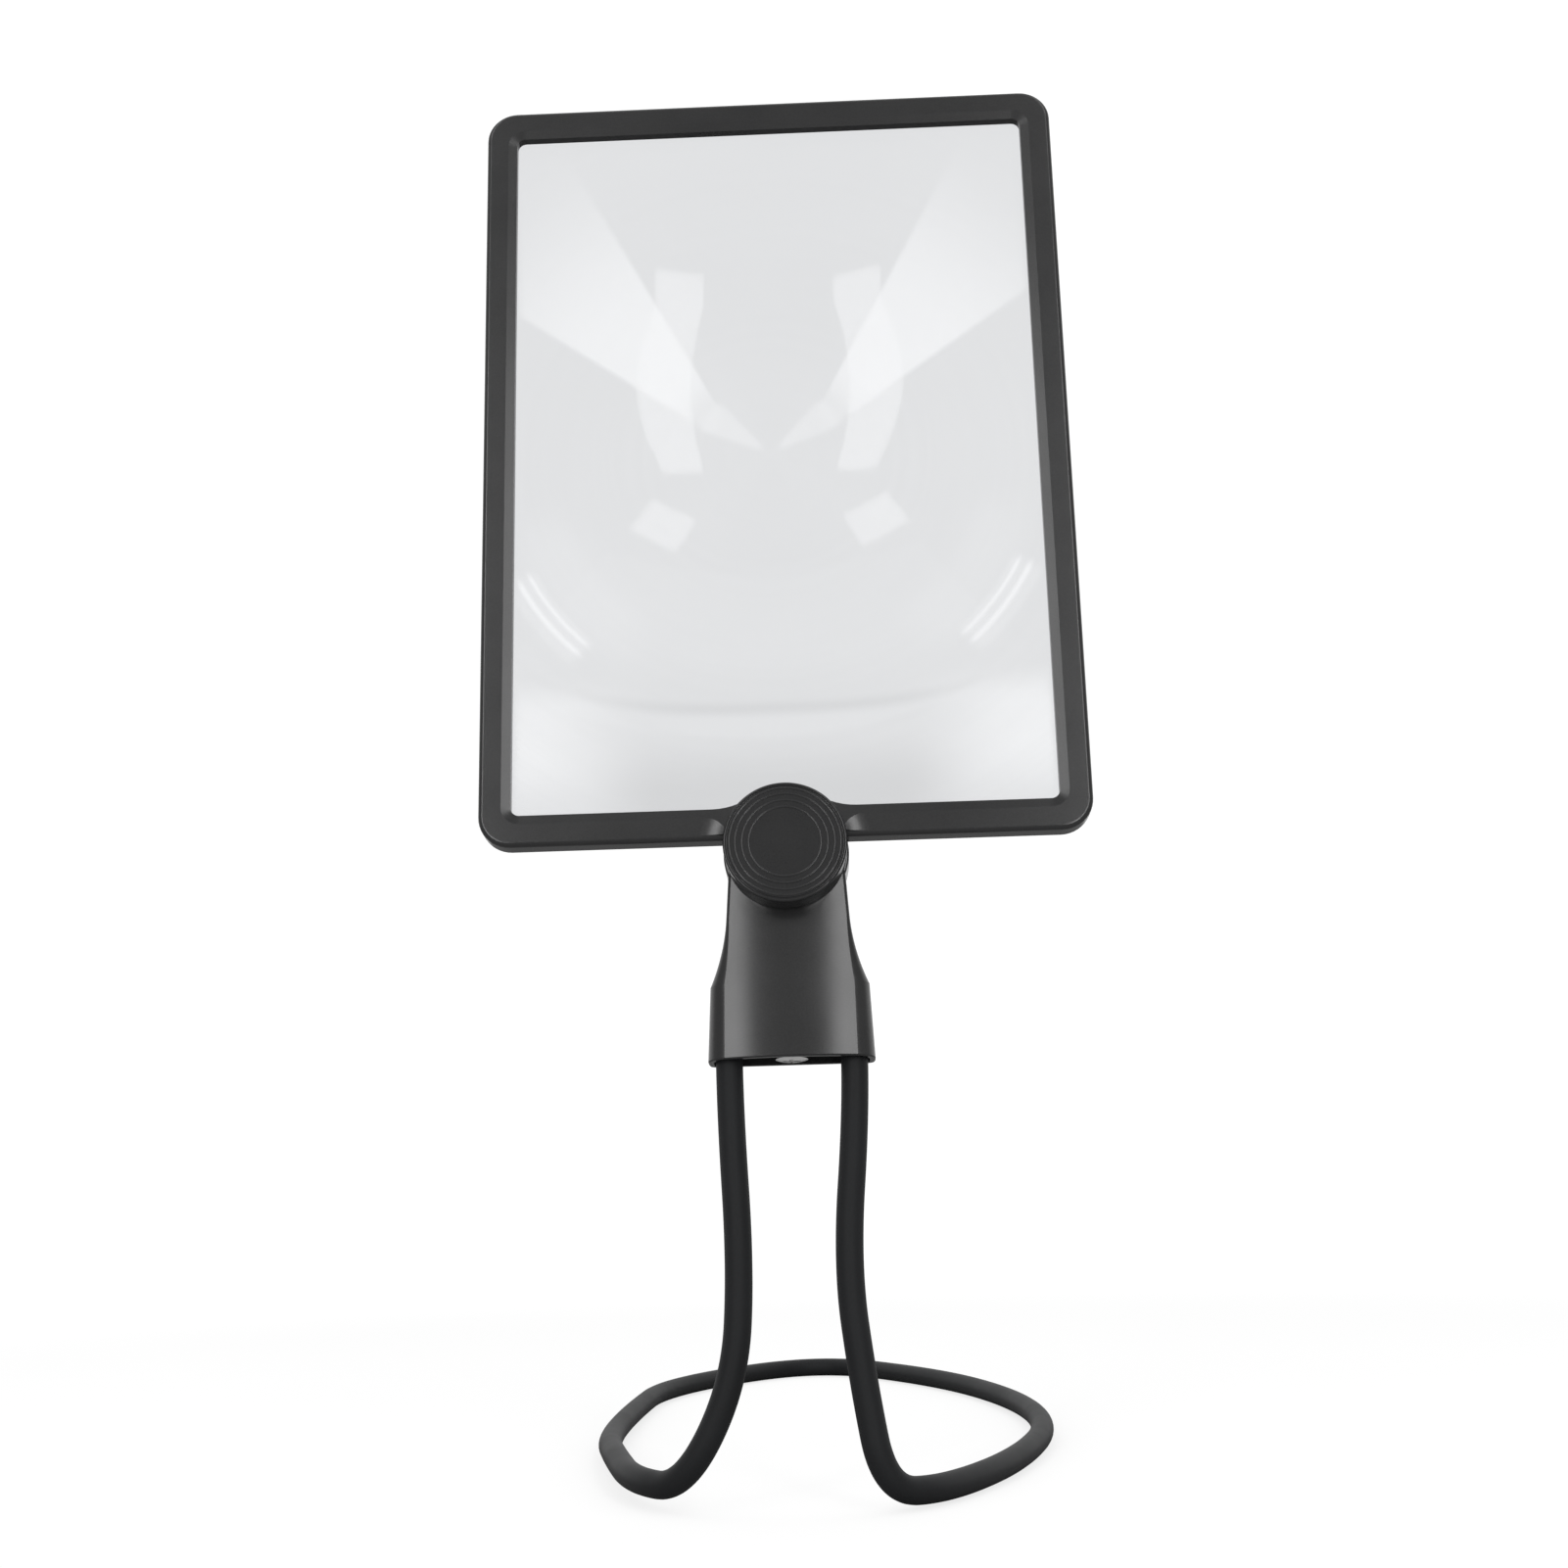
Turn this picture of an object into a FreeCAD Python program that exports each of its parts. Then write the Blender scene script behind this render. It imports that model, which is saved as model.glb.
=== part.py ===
import FreeCAD, Part
import math
import os

# Neck magnifier. A sheet lens in a frame turns on a friction pivot at the top of a bell-shaped
# bracket, and a bendable gooseneck, bent into a loop for the wearer's neck, carries the bracket.
# Lengths are in millimetres.
#
# The frame, the pivot and the bracket are drawn upright: X to the right, Y to the back, Z up, with
# the origin on the pivot's axis at the front face of the frame. They are then leaned back and lifted
# to the pivot's place over the table. The gooseneck is drawn in the table's axes, with the origin on
# the table under the middle of the whole magnifier. A drop is a distance below the pivot's axis.

Vector = FreeCAD.Vector

# Fits
running_gap = 0.05
face_gap = 0.05
seat_gap = 0.1
part_gap = 0.3
overrun = 1.0

# How it stands on the table
pivot_height = 157.3
lean_angle = 7.64
loop_width = 130.0
loop_depth = 320.0
pivot_setback_share = -0.468

# Domes of the screw heads, as shares of the head's height
pan_dome_share = 0.45
base_dome_share = 0.2

# Lens frame, both halves
frame_width = 150.4
frame_height = 207.0
frame_thickness = 5.5
frame_corner_radius = 8.0
frame_edge_radius = 1.2
frame_back_edge_radius = 0.5
bar_width = 8.0
window_corner_radius = 2.2
bevel_width = 2.3
bevel_depth_share = 0.22
rim_width = 1.4
pivot_below_frame = 1.6
rear_bezel_thickness = 1.15
rear_window_margin = 2.4
peg_radius = 0.9
peg_length = 1.2
side_peg_height_shares = (0.14, 0.38, 0.62, 0.86)
top_peg_place_shares = (-0.3, 0.0, 0.3)
bottom_peg_place_shares = (-0.3, 0.3)

# Sheet lens
lens_thickness = 1.7
lens_overlap = 3.6
lens_corner_radius = 4.5

# Round hub of the frame, and its cap
cap_radius = 15.15
cap_thickness = 1.1
cap_overhang = 0.3
cap_edge_radius = 0.5
cap_skirt_wall = 1.0
cap_skirt_depth = 1.8
cap_ring_width = 0.6
cap_ring_height = 0.13
cap_ring_radius_shares = (0.58, 0.69, 0.8, 0.895)
cap_groove_width = 0.4
cap_groove_depth = 0.2
cap_groove_radius_share = 0.94
hub_rise = 0.9
hub_ramp_length = 6.0
hub_blend_radius = 18.0
hub_lip = 1.8
hub_wall = 1.7

# Friction pivot
pivot_radius = 2.0
pivot_head_radius = 3.8
pivot_head_height = 2.2
pivot_head_room = 0.5
pivot_tip_length = 1.0
pivot_tip_room = 0.6
flat_washer_radius = 5.0
flat_washer_thickness = 0.6
disc_spring_radius = 4.8
disc_spring_thickness = 0.45
disc_spring_height = 0.9
hub_washer_radius = 6.0
hub_washer_thickness = 0.6
friction_disc_radius = 12.0
friction_disc_bore_radius = 4.0
friction_disc_thickness = 1.35
nut_across_flats = 7.0
nut_height = 3.2

# Bracket shells
bracket_gap = 0.4
bracket_depth = 12.4
cover_depth = 3.0
wall = 1.4
head_margin = 0.35
head_edge_radius = 0.5
head_floor = 3.0
nut_boss_wall = 2.6
neck_width = 30.2
neck_taper = 1.0
neck_drop = 16.0
flare_section_count = 5
skirt_height = 18.5
skirt_taper = 0.85
foot_width = 40.7
foot_drop = 51.2
foot_chamfer = 0.35
neck_round = 0.9
foot_round = 5.3
inner_round = 0.6
back_round = 2.0
crown_radius = 85.0
crown_sink = 0.2
cavity_top_drop = 18.0

# Screws of the bracket's rear cover
cover_screw_radius = 1.1
cover_screw_head_radius = 2.1
cover_screw_head_height = 1.3
cover_screw_sink = 1.6
cover_screw_tip_room = 2.4
cover_boss_wall = 1.5
upper_screw_drop = 22.5
upper_screw_place_share = 0.295
lower_screw_place_share = 0.175
lower_screw_height_share = 0.55

# Tube block, base screw and insert
block_recess = 2.0
block_top_room = 3.0
block_side_cheek = 1.0
block_face_cheek = 0.35
block_corner_radius = 1.2
base_screw_radius = 1.5
base_screw_head_radius = 3.95
base_screw_head_height = 2.0
insert_radius = 2.3
insert_length = 6.0
insert_boss_wall = 1.3
insert_boss_height = 11.0
insert_rib_width = 4.8

# Gooseneck, its ferrules and pins
tube_radius = 3.3
tube_side_gap = 0.45
sleeve_wall = 1.4
core_gap = 0.15
ferrule_shoulder = 0.5
ferrule_end_length = 4.0
ferrule_top_room = 1.2
pin_radius = 0.8
exit_run = 12.0
arc_run_share = 0.45

# The gooseneck's course from the left strand, round the loop, to the right strand: the place across
# as a share of loop_width, the place in depth as a share of loop_depth, and the height over the
# resting height as a share of pivot_height.
route_shares = (
    (-0.102, -0.476, 0.336),
    (-0.118, -0.490, 0.164),
    (-0.208, -0.491, 0.018),
    (-0.325, -0.443, 0.018),
    (-0.378, -0.327, 0.018),
    (-0.452, -0.165, 0.0),
    (-0.462, 0.055, 0.0),
    (-0.426, 0.318, 0.0),
    (-0.005, 0.559, 0.0),
    (0.340, 0.342, 0.0),
    (0.505, 0.110, 0.0),
    (0.535, -0.115, 0.0),
    (0.425, -0.318, 0.0),
    (0.262, -0.463, 0.0),
    (0.146, -0.500, 0.008),
    (0.114, -0.490, 0.162),
    (0.090, -0.476, 0.336),
)

# Levels through the frame, from its front face at zero to the back
rear_bezel_front = frame_thickness - rear_bezel_thickness
lens_back = rear_bezel_front - face_gap
lip_thickness = lens_back - lens_thickness
bevel_depth = lip_thickness * bevel_depth_share

# Heights and half widths of the frame
frame_low = pivot_below_frame
frame_high = frame_low + frame_height
frame_half = frame_width / 2
window_half = frame_half - bar_width
window_low = frame_low + bar_width
window_high = frame_high - bar_width

# Hub of the frame
hub_radius = cap_radius - cap_overhang
hub_core_radius = hub_radius - hub_lip
hub_recess_radius = hub_core_radius - hub_wall

# Levels through the pivot, from the front to the back
screw_seat = pivot_head_room + pivot_head_height - hub_rise
flat_washer_back = screw_seat + flat_washer_thickness
disc_spring_back = flat_washer_back + disc_spring_height
web_front = disc_spring_back + hub_washer_thickness + face_gap
bracket_front = frame_thickness + bracket_gap
bracket_back = bracket_front + bracket_depth
bracket_split = bracket_back - cover_depth
friction_disc_front = frame_thickness + face_gap
friction_disc_back = friction_disc_front + friction_disc_thickness
cover_inside = bracket_back - wall
pivot_tip = cover_inside - pivot_tip_room
nut_back = pivot_tip - pivot_tip_length
nut_front = nut_back - nut_height

# Bracket
head_radius = cap_radius + head_margin
neck_half = neck_width / 2
foot_half = foot_width / 2
shoulder_half = foot_half - skirt_taper
shoulder_drop = foot_drop - skirt_height

# Gooseneck ends in the bracket
tube_offset = foot_half - wall - tube_side_gap - tube_radius
crown_fall = crown_sink + tube_offset ** 2 / (2 * crown_radius)
tube_depth = (bracket_front + crown_fall + bracket_back) / 2
sleeve_bore_radius = tube_radius - sleeve_wall
core_radius = sleeve_bore_radius - core_gap
ferrule_radius = tube_radius - ferrule_shoulder
block_low_drop = foot_drop - block_recess
block_height = skirt_height - block_recess - block_top_room
block_high_drop = block_low_drop - block_height
block_half_width = tube_offset + block_side_cheek
block_half_depth = tube_radius + block_face_cheek
ferrule_low_drop = block_low_drop - seat_gap
ferrule_high_drop = block_high_drop + ferrule_top_room
core_end_drop = ferrule_high_drop + ferrule_end_length + seat_gap
sleeve_end_drop = block_low_drop + seat_gap

# Screws of the cover
sink_floor = bracket_back - cover_screw_sink
cover_screw_tip = bracket_front + wall + cover_screw_tip_room
upper_screw_place = neck_width * upper_screw_place_share
lower_screw_place = foot_width * lower_screw_place_share
lower_screw_drop = block_high_drop + block_height * (1 - lower_screw_height_share)

pivot_place = Vector(0, loop_depth * pivot_setback_share, pivot_height)
stand_placement = FreeCAD.Placement(pivot_place, FreeCAD.Rotation(Vector(1, 0, 0), -lean_angle))


# Shared shapes

def disc_y(radius, front, back, x=0, z=0):
    return Part.makeCylinder(radius, back - front, Vector(x, front, z), Vector(0, 1, 0))


def ring_y(outer_radius, inner_radius, front, back):
    return disc_y(outer_radius, front, back).cut(disc_y(inner_radius, front - overrun, back + overrun))


def post_z(radius, low_drop, high_drop, x, y):
    return Part.makeCylinder(radius, low_drop - high_drop, Vector(x, y, -low_drop), Vector(0, 0, 1))


def line(start, end):
    return Part.LineSegment(start, end).toShape()


def arc(start, middle, end):
    return Part.Arc(start, middle, end).toShape()


def closed_line(points):
    return Part.makePolygon(points + [points[0]])


def revolve_y(wire):
    return Part.Face(wire).revolve(Vector(0, 0, 0), Vector(0, 1, 0), 360)


def revolve_z(wire):
    return Part.Face(wire).revolve(Vector(0, 0, 0), Vector(0, 0, 1), 360)


def polar(centre, radius, angle, plane_x, plane_y):
    return centre + plane_x * (radius * math.cos(angle)) + plane_y * (radius * math.sin(angle))


def rounded_rectangle(half_width, low, high, radius, y):
    """A rounded rectangle across the view, at one depth."""
    centres = (
        Vector(half_width - radius, y, high - radius),
        Vector(radius - half_width, y, high - radius),
        Vector(radius - half_width, y, low + radius),
        Vector(half_width - radius, y, low + radius),
    )
    across = Vector(1, 0, 0)
    up = Vector(0, 0, 1)
    corners = []
    for quarter, centre in enumerate(centres):
        angles = [math.pi / 2 * (quarter + step / 2) for step in range(3)]
        corners.append([polar(centre, radius, angle, across, up) for angle in angles])
    edges = []
    for place, corner in enumerate(corners):
        edges.append(line(corners[place - 1][2], corner[0]))
        edges.append(arc(*corner))
    return Part.Wire(edges)


def plate(wire, thickness):
    return Part.Face(wire).extrude(Vector(0, thickness, 0))


def edges_at_depth(shape, depth):
    return [edge for edge in shape.Edges if all(abs(v.Y - depth) < face_gap for v in edge.Vertexes)]


def pan_head_screw(radius, length, head_radius, head_height, dome_share, place, direction):
    """A screw with a domed head and a cross recess, its head's underside at the place."""
    dome_rise = head_height * dome_share
    tip_chamfer = radius * 0.3
    profile = Part.Wire([
        line(Vector(0, 0, -head_height), Vector(0, 0, length)),
        line(Vector(0, 0, length), Vector(radius - tip_chamfer, 0, length)),
        line(Vector(radius - tip_chamfer, 0, length), Vector(radius, 0, length - tip_chamfer)),
        line(Vector(radius, 0, length - tip_chamfer), Vector(radius, 0, 0)),
        line(Vector(radius, 0, 0), Vector(head_radius, 0, 0)),
        line(Vector(head_radius, 0, 0), Vector(head_radius, 0, dome_rise - head_height)),
        arc(
            Vector(head_radius, 0, dome_rise - head_height),
            Vector(head_radius * 0.62, 0, dome_rise * 0.2 - head_height),
            Vector(0, 0, -head_height),
        ),
    ])
    screw = revolve_z(profile)
    slot_length = head_radius * 1.1
    slot_width = head_radius * 0.24
    slot_depth = head_height * 0.55
    for size_x, size_y in ((slot_length, slot_width), (slot_width, slot_length)):
        corner = Vector(-size_x / 2, -size_y / 2, -head_height - overrun)
        screw = screw.cut(Part.makeBox(size_x, size_y, slot_depth + overrun, corner))
    screw.Placement = FreeCAD.Placement(place, FreeCAD.Rotation(Vector(0, 0, 1), direction))
    return screw


# Lens frame

def window_outline(grow, low_grow, y):
    """The lens window, whose lower edge runs up and over the round hub in soft bends."""
    half = window_half + grow
    low = window_low - low_grow
    high = window_high + grow
    corner = window_corner_radius + grow
    arch = hub_radius - low_grow
    blend = hub_blend_radius + low_grow
    blend_x = math.sqrt((arch + blend) ** 2 - (low + blend) ** 2)
    across = Vector(1, 0, 0)
    up = Vector(0, 0, 1)
    arch_angle = math.atan2(low + blend, blend_x)
    right_blend = [
        polar(Vector(blend_x, y, low + blend), blend, angle, across, up)
        for angle in (-math.pi / 2, (arch_angle - 3 * math.pi / 2) / 2, arch_angle - math.pi)
    ]
    left_blend = [Vector(-point.x, y, point.z) for point in reversed(right_blend)]
    corners = []
    for quarter, side_x, side_z in ((0, 1, high - corner), (1, -1, high - corner),
                                    (2, -1, low + corner), (3, 1, low + corner)):
        centre = Vector(side_x * (half - corner), y, side_z)
        angles = [math.pi / 2 * (quarter + step / 2) for step in range(3)]
        corners.append([polar(centre, corner, angle, across, up) for angle in angles])
    edges = [
        line(corners[3][2], corners[0][0]),
        arc(*corners[0]),
        line(corners[0][2], corners[1][0]),
        arc(*corners[1]),
        line(corners[1][2], corners[2][0]),
        arc(*corners[2]),
        line(corners[2][2], left_blend[2]),
        arc(*reversed(left_blend)),
        arc(left_blend[0], Vector(0, y, arch), right_blend[2]),
        arc(*reversed(right_blend)),
        line(right_blend[0], corners[3][0]),
        arc(*corners[3]),
    ]
    return Part.Wire(edges)


def window_cutter():
    slope = bevel_width / bevel_depth
    bevel_start = bevel_width + slope * overrun
    bevel = Part.makeLoft([
        window_outline(bevel_start, bevel_start, -overrun),
        window_outline(0, 0, bevel_depth),
    ], True, True)
    through = plate(window_outline(0, 0, bevel_depth), frame_thickness + overrun - bevel_depth)
    return bevel.fuse(through)


def frame_block():
    outline = rounded_rectangle(frame_half, frame_low, frame_high, frame_corner_radius, 0)
    block = plate(outline, frame_thickness)
    block = block.makeFillet(frame_edge_radius, edges_at_depth(block, 0))
    return block.makeFillet(frame_back_edge_radius, edges_at_depth(block, frame_thickness))


def hub_ramp():
    """A hollow curved ramp from the bar's face up to the hub, on the bar only."""
    bend = (hub_ramp_length ** 2 + hub_rise ** 2) / (2 * hub_rise)
    half_way = math.sqrt(bend ** 2 - (hub_ramp_length / 2) ** 2) - bend
    inner = hub_radius - hub_wall
    outer = hub_radius + hub_ramp_length
    profile = Part.Wire([
        line(Vector(inner, lip_thickness, 0), Vector(inner, -hub_rise, 0)),
        line(Vector(inner, -hub_rise, 0), Vector(hub_radius, -hub_rise, 0)),
        arc(
            Vector(hub_radius, -hub_rise, 0),
            Vector(hub_radius + hub_ramp_length / 2, half_way, 0),
            Vector(outer, 0, 0),
        ),
        line(Vector(outer, 0, 0), Vector(outer, lip_thickness, 0)),
        line(Vector(outer, lip_thickness, 0), Vector(inner, lip_thickness, 0)),
    ])
    bar_low = frame_low + frame_edge_radius
    bar = Part.makeBox(frame_width, lip_thickness + hub_rise + overrun, bar_width,
                       Vector(-frame_half, -hub_rise - overrun, bar_low))
    return revolve_y(profile).common(bar)


def lens_pocket():
    outline = rounded_rectangle(
        window_half + lens_overlap + seat_gap,
        window_low - lens_overlap - seat_gap,
        window_high + lens_overlap + seat_gap,
        lens_corner_radius + seat_gap,
        lip_thickness,
    )
    return plate(outline, frame_thickness + overrun - lip_thickness)


def rear_pocket(gap):
    half = frame_half - rim_width - gap
    low = frame_low + rim_width + gap
    high = frame_high - rim_width - gap
    radius = frame_corner_radius - rim_width - gap
    outline = rounded_rectangle(half, low, high, radius, rear_bezel_front)
    return plate(outline, rear_bezel_thickness)


def peg_places():
    """Pegs stand along the middle of the ledge between the lens and the rim."""
    ledge = (rim_width + bar_width - lens_overlap) / 2
    places = []
    for share in side_peg_height_shares:
        for side in (-1, 1):
            places.append((side * (frame_half - ledge), frame_low + frame_height * share))
    for share in top_peg_place_shares:
        places.append((frame_width * share, frame_high - ledge))
    for share in bottom_peg_place_shares:
        places.append((frame_width * share, frame_low + ledge))
    return places


def make_front_bezel():
    bezel = frame_block().fuse(hub_ramp())
    bezel = bezel.cut(window_cutter())
    hollow = lens_pocket().fuse(rear_pocket(0)).fuse(
        disc_y(hub_radius, rear_bezel_front, frame_thickness + overrun))
    hollow = hollow.cut(disc_y(hub_core_radius, 0, frame_thickness + overrun))
    bezel = bezel.cut(hollow)
    below_pocket = Part.makeBox(frame_width, frame_thickness, hub_radius + rim_width + frame_low,
                                Vector(-frame_half, 0, -hub_radius))
    lower_hub = disc_y(hub_radius, 0, frame_thickness).common(below_pocket)
    bezel = bezel.fuse([
        disc_y(hub_radius, -hub_rise, lip_thickness),
        disc_y(hub_core_radius, 0, frame_thickness),
        lower_hub,
    ])
    bezel = bezel.cut(disc_y(hub_recess_radius, -hub_rise - overrun, web_front))
    bezel = bezel.cut(disc_y(pivot_radius + running_gap, 0, frame_thickness + overrun))
    for x, z in peg_places():
        hole_front = rear_bezel_front - peg_length - seat_gap
        bezel = bezel.cut(disc_y(peg_radius + face_gap, hole_front, rear_bezel_front + overrun, x, z))
    return bezel.removeSplitter()


def make_rear_bezel():
    bezel = rear_pocket(seat_gap)
    window = plate(window_outline(rear_window_margin, 0, rear_bezel_front - overrun),
                   rear_bezel_thickness + 2 * overrun)
    bezel = bezel.cut(window)
    hub_room = disc_y(hub_core_radius + seat_gap, rear_bezel_front - overrun, frame_thickness + overrun)
    bezel = bezel.cut(hub_room)
    for x, z in peg_places():
        peg_front = rear_bezel_front - peg_length
        bezel = bezel.fuse(disc_y(peg_radius, peg_front, rear_bezel_front + face_gap, x, z))
    return bezel.removeSplitter()


def make_fresnel_lens():
    outline = rounded_rectangle(
        window_half + lens_overlap,
        window_low - lens_overlap,
        window_high + lens_overlap,
        lens_corner_radius,
        lip_thickness,
    )
    sheet = plate(outline, lens_thickness)
    notch = disc_y(hub_core_radius + seat_gap, lip_thickness - overrun, lens_back + overrun)
    return sheet.cut(notch)


def make_hub_cap():
    """A turned cap: ring ridges and a groove on its face, a rounded edge and a skirt for the hub."""
    back = -hub_rise
    front = back - cap_thickness
    skirt_outer = hub_recess_radius - seat_gap
    skirt_inner = skirt_outer - cap_skirt_wall
    edges = []
    here = Vector(0, front, 0)
    forms = [(share, cap_ring_width, -cap_ring_height) for share in cap_ring_radius_shares]
    forms.append((cap_groove_radius_share, cap_groove_width, cap_groove_depth))
    for share, width, sink in forms:
        middle = cap_radius * share
        start = Vector(middle - width / 2, front, 0)
        end = Vector(middle + width / 2, front, 0)
        edges.append(line(here, start))
        edges.append(arc(start, Vector(middle, front + sink, 0), end))
        here = end
    edge_start = Vector(cap_radius - cap_edge_radius, front, 0)
    edge_end = Vector(cap_radius, front + cap_edge_radius, 0)
    edge_centre = Vector(cap_radius - cap_edge_radius, front + cap_edge_radius, 0)
    edge_middle = polar(edge_centre, cap_edge_radius, -math.pi / 4, Vector(1, 0, 0), Vector(0, 1, 0))
    edges.append(line(here, edge_start))
    edges.append(arc(edge_start, edge_middle, edge_end))
    corners = [
        edge_end,
        Vector(cap_radius, back, 0),
        Vector(skirt_outer, back, 0),
        Vector(skirt_outer, back + cap_skirt_depth, 0),
        Vector(skirt_inner, back + cap_skirt_depth, 0),
        Vector(skirt_inner, back, 0),
        Vector(0, back, 0),
        Vector(0, front, 0),
    ]
    for start, end in zip(corners[:-1], corners[1:]):
        edges.append(line(start, end))
    return revolve_y(Part.Wire(edges))


# Friction pivot

def make_pivot_screw():
    return pan_head_screw(pivot_radius, pivot_tip - screw_seat, pivot_head_radius, pivot_head_height,
                          pan_dome_share, Vector(0, screw_seat, 0), Vector(0, 1, 0))


def make_flat_washer():
    return ring_y(flat_washer_radius, pivot_radius + seat_gap, screw_seat, flat_washer_back)


def make_disc_spring():
    bore = pivot_radius + seat_gap
    return revolve_y(closed_line([
        Vector(bore, flat_washer_back, 0),
        Vector(bore, flat_washer_back + disc_spring_thickness, 0),
        Vector(disc_spring_radius, disc_spring_back, 0),
        Vector(disc_spring_radius, disc_spring_back - disc_spring_thickness, 0),
    ]))


def make_hub_washer():
    return ring_y(hub_washer_radius, pivot_radius + seat_gap, disc_spring_back, web_front - face_gap)


def make_friction_disc():
    return ring_y(friction_disc_radius, friction_disc_bore_radius, friction_disc_front, friction_disc_back)


def hexagon(across_flats, front, back):
    corner_radius = across_flats / math.sqrt(3)
    centre = Vector(0, front, 0)
    points = [
        polar(centre, corner_radius, math.pi / 3 * step, Vector(1, 0, 0), Vector(0, 0, 1))
        for step in range(6)
    ]
    return plate(closed_line(points), back - front)


def make_pivot_nut():
    half_flats = nut_across_flats / 2
    corner_radius = nut_across_flats / math.sqrt(3)
    chamfer = (corner_radius - half_flats) / 2
    envelope = revolve_y(closed_line([
        Vector(0, nut_front, 0),
        Vector(half_flats, nut_front, 0),
        Vector(corner_radius, nut_front + chamfer, 0),
        Vector(corner_radius, nut_back - chamfer, 0),
        Vector(half_flats, nut_back, 0),
        Vector(0, nut_back, 0),
    ]))
    nut = hexagon(nut_across_flats, nut_front, nut_back).common(envelope)
    return nut.cut(disc_y(pivot_radius + running_gap, nut_front - overrun, nut_back + overrun))


# Bracket shells

def bracket_half_width(drop):
    """Tapered neck, then a flare that leaves the neck smoothly, then the nearly straight skirt."""
    slope = neck_taper / neck_drop
    below_neck = drop - neck_drop
    if below_neck <= 0:
        return neck_half + slope * below_neck
    if drop >= shoulder_drop:
        return shoulder_half + skirt_taper * (drop - shoulder_drop) / skirt_height
    length = shoulder_drop - neck_drop
    flare = shoulder_half - neck_half - slope * length
    bend = (length ** 2 + flare ** 2) / (2 * flare)
    return neck_half + slope * below_neck + bend - math.sqrt(bend ** 2 - below_neck ** 2)


def front_corner_round(drop):
    """The front corners are tight on the neck and grow with the flare."""
    grown = max(0, bracket_half_width(drop) - neck_half) / (foot_half - neck_half)
    return neck_round + (foot_round - neck_round) * grown


def bracket_section(drop, inset):
    """A level slice of the bracket: crowned front, round front corners, small back corners."""
    half = bracket_half_width(drop) - inset
    front = bracket_front + crown_sink + inset
    back = bracket_back - inset
    corner = max(front_corner_round(drop) - inset, inner_round)
    back_corner = max(back_round - inset, inner_round)
    crown = crown_radius - inset
    corner_x = half - corner
    crown_y = front + crown
    corner_y = crown_y - math.sqrt((crown - corner) ** 2 - corner_x ** 2)
    turn = math.atan2(corner_y - crown_y, corner_x)
    across = Vector(1, 0, 0)
    deep = Vector(0, 1, 0)
    corner_centre = Vector(corner_x, corner_y, -drop)
    front_corner = [polar(corner_centre, corner, angle, across, deep) for angle in (turn, turn / 2, 0)]
    back_centre = Vector(half - back_corner, back - back_corner, -drop)
    back_angles = (0, math.pi / 4, math.pi / 2)
    rear_corner = [polar(back_centre, back_corner, angle, across, deep) for angle in back_angles]
    mirrored_front = [Vector(-point.x, point.y, point.z) for point in front_corner]
    mirrored_rear = [Vector(-point.x, point.y, point.z) for point in rear_corner]
    return Part.Wire([
        arc(mirrored_front[0], Vector(0, front, -drop), front_corner[0]),
        arc(*front_corner),
        line(front_corner[2], rear_corner[0]),
        arc(*rear_corner),
        line(rear_corner[2], mirrored_rear[2]),
        arc(*reversed(mirrored_rear)),
        line(mirrored_rear[0], mirrored_front[2]),
        arc(*reversed(mirrored_front)),
    ])


def bracket_body(top_drop, bottom_drop, inset):
    """The bracket below the head, or with an inset the hollow inside it."""
    step = (shoulder_drop - neck_drop) / (flare_section_count - 1)
    flare_drops = [neck_drop + step * count for count in range(flare_section_count)]
    flare_drops = [drop for drop in flare_drops if drop > top_drop]
    if top_drop > neck_drop:
        flare_drops = [top_drop] + flare_drops
    flare = Part.makeLoft([bracket_section(drop, inset) for drop in flare_drops], True, False)
    skirt = Part.makeLoft([
        bracket_section(shoulder_drop, inset),
        bracket_section(bottom_drop, inset),
    ], True, True)
    body = flare.fuse(skirt)
    if top_drop < neck_drop:
        neck_ends = [bracket_section(drop, inset) for drop in (top_drop, neck_drop)]
        body = body.fuse(Part.makeLoft(neck_ends, True, True))
    return body


def bracket_head():
    """A round head, crowned a little behind the body, with a flat round seat behind the hub."""
    middle = (bracket_front + bracket_back) / 2
    crown_centre = bracket_front + 2 * crown_sink + crown_radius
    crown = Part.makeCylinder(crown_radius, 2 * frame_width, Vector(0, crown_centre, -frame_width))
    front_part = disc_y(head_radius, bracket_front - overrun, middle).common(crown)
    rim = [edge for edge in front_part.Edges if all(v.Y < middle - face_gap for v in edge.Vertexes)]
    front_part = front_part.makeFillet(head_edge_radius, rim)
    back_part = disc_y(head_radius, middle, bracket_back)
    back_part = back_part.makeFillet(back_round, edges_at_depth(back_part, bracket_back))
    return front_part.fuse([back_part, disc_y(hub_radius, bracket_front, middle)]).removeSplitter()


def bracket_outside():
    """The head, the body and a narrow chamfer round the foot."""
    neck_top_drop = head_radius / 4
    chamfer_drop = foot_drop - foot_chamfer
    foot = Part.makeLoft([
        bracket_section(chamfer_drop, 0),
        bracket_section(foot_drop, foot_chamfer),
    ], True, True)
    return bracket_head().fuse([bracket_body(neck_top_drop, chamfer_drop, 0), foot])


def bracket_inside():
    return bracket_body(cavity_top_drop, foot_drop + overrun, wall)


def half_space(front, back):
    reach = frame_width
    return Part.makeBox(reach, back - front, reach, Vector(-reach / 2, front, -reach / 2))


def upper_screw_places():
    return [(side * upper_screw_place, upper_screw_drop) for side in (-1, 1)]


def lower_screw_places():
    return [(side * lower_screw_place, lower_screw_drop) for side in (-1, 1)]


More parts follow.
